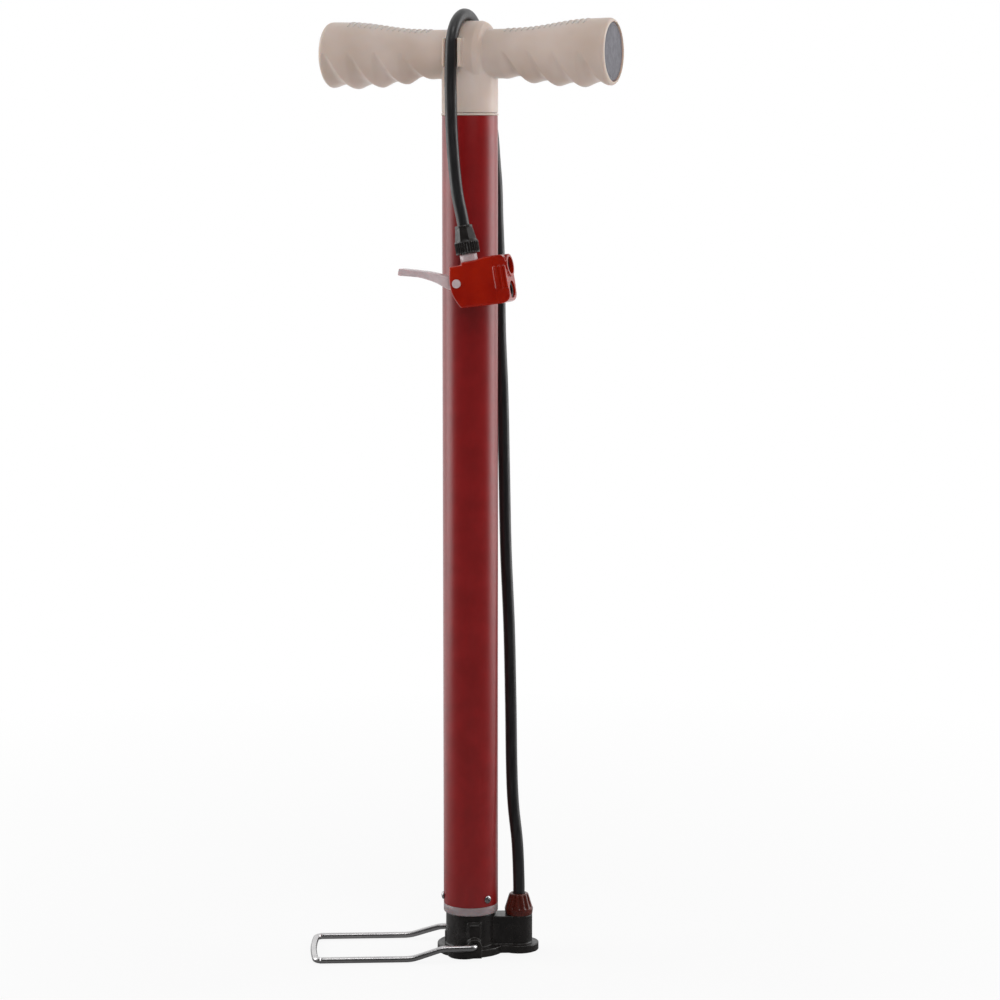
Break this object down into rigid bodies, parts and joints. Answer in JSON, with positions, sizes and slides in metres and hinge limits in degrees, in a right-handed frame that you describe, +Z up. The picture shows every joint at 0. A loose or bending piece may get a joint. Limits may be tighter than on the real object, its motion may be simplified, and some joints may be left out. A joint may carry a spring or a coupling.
{
  "type": "floor bike pump",
  "caption": "Floor bicycle pump with a steel barrel, T handle, folding wire foot bail, and a twin-mouth lever head on a rubber hose laid over the handle",
  "frame": {"origin": "on the barrel axis at the underside of the foot, where the pump stands on the floor", "axes": "+Z up along the barrel; +X from the barrel to the hose boss; -X to the wire bail; -Y the side where the head hangs"},
  "size_m": [0.1979, 0.1126, 0.6005],
  "materials": {
    "black_plastic": "glossy injection-moulded black plastic",
    "ring_plastic": "pale translucent plastic",
    "red_paint": "satin red powder coat on steel tube",
    "cream_plastic": "satin cream plastic, slightly translucent",
    "zinc_wire": "bright zinc-plated wire",
    "steel": "plated steel",
    "brass": "turned brass",
    "dark_red_plastic": "dark red translucent plastic",
    "hose_rubber": "satin black hose rubber",
    "seal_rubber": "black seal rubber",
    "grey_plastic": "dark grey plastic",
    "head_red": "glossy orange-red plastic",
    "white_plastic": "pinkish white translucent plastic"
  },
  "bodies": {
    "base": {"foot": "black_plastic", "bottom_plug": "ring_plastic", "plug_seal": "seal_rubber", "barrel": "red_paint", "barrel_screws": "steel", "top_guide": "cream_plastic", "valve_spring": "steel", "hose_barb": "brass", "hose_nut": "dark_red_plastic", "hose_rise": "hose_rubber"},
    "bail": {"foot_bail": "zinc_wire"},
    "plunger": {"plunger_rod": "steel", "piston_nut": "steel", "piston_plate": "grey_plastic", "cup_seal": "seal_rubber", "piston_backing": "grey_plastic", "rod_bumper": "seal_rubber", "handle": "cream_plastic", "rod_insert": "brass", "end_cap_left": "grey_plastic", "end_cap_right": "grey_plastic", "hose_loop": "hose_rubber", "head_ferrule": "black_plastic", "head_stem": "white_plastic", "head_body": "head_red", "lever_pin": "white_plastic", "wide_grommet": "seal_rubber", "narrow_grommet": "seal_rubber"},
    "lever": {"head_lever": "white_plastic"},
    "pusher": {"grommet_pusher": "cream_plastic"},
    "check_valve": {"valve_disc": "seal_rubber"}
  },
  "joints": [
    {"name": "plunger_slide", "type": "slide", "parent": "base", "child": "plunger", "axis": [0, 0, 1], "range_m": [0, 0.44]},
    {"name": "bail_fold", "type": "hinge", "parent": "base", "child": "bail", "pos_m": [0.0015, 0, 0.008], "axis": [0, 1, 0], "range_deg": [0, 81]},
    {"name": "lever_swing", "type": "hinge", "parent": "plunger", "child": "lever", "pos_m": [-0.0064, -0.029, 0.4314], "axis": [-0.342, -0.9397, 0], "range_deg": [0, 85]},
    {"name": "pusher_slide", "type": "slide", "parent": "plunger", "child": "pusher", "axis": [0.9254, -0.3368, 0.1736], "range_m": [0, 0.00125]},
    {"name": "valve_lift", "type": "slide", "parent": "base", "child": "check_valve", "axis": [0, 0, -1], "range_m": [0, 0.0015], "stiffness_N_per_m": 200, "springref_m": -0.001, "deforming": ["valve_spring"]}
  ],
  "couplings": [
    {"joint": "pusher_slide", "follows": "lever_swing", "m_per_rad": 0.00080888}
  ]
}
